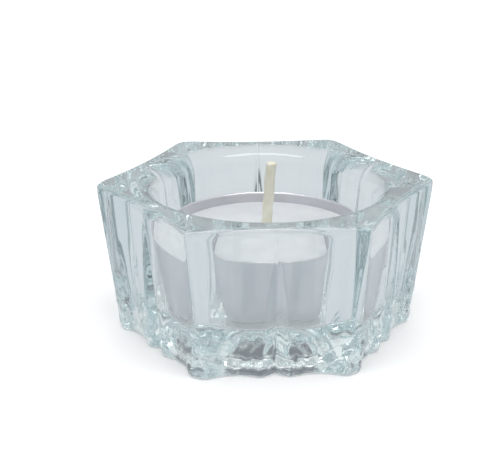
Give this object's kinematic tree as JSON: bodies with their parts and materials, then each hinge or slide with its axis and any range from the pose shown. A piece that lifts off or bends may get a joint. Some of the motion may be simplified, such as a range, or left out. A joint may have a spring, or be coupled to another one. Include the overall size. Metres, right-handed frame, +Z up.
{
  "type": "tealight holder",
  "caption": "Clear pressed-glass hexagonal tealight holder with fluted sides, holding a wax tealight in an aluminium cup.",
  "frame": {"origin": "on the resting plane, at the holder's vertical axis", "axes": "+Z up along the holder's axis; +X towards one corner of the hexagon; -Y square to the front side"},
  "size_m": [0.066, 0.0576, 0.0335],
  "materials": {
    "clear_glass": "clear pressed glass, fire-polished, with a faint grey-green tint",
    "cup_aluminium": "thin drawn foil, dull satin",
    "white_wax": "white paraffin wax, smooth and slightly translucent",
    "waxed_cotton": "braided cotton soaked in wax, cream",
    "tinned_steel": "thin tin-plated steel"
  },
  "bodies": {
    "holder": {"glass_holder": "clear_glass"},
    "tealight": {"tealight_cup": "cup_aluminium"},
    "candle": {"wax": "white_wax", "wick": "waxed_cotton", "wick_sustainer": "tinned_steel"}
  },
  "joints": [
    {"name": "tealight_lift", "type": "slide", "parent": "holder", "child": "tealight", "axis": [0, 0, 1], "range_m": [0, 0.03]},
    {"name": "wax_lift", "type": "slide", "parent": "tealight", "child": "candle", "axis": [0, 0, 1], "range_m": [0, 0.018]}
  ]
}
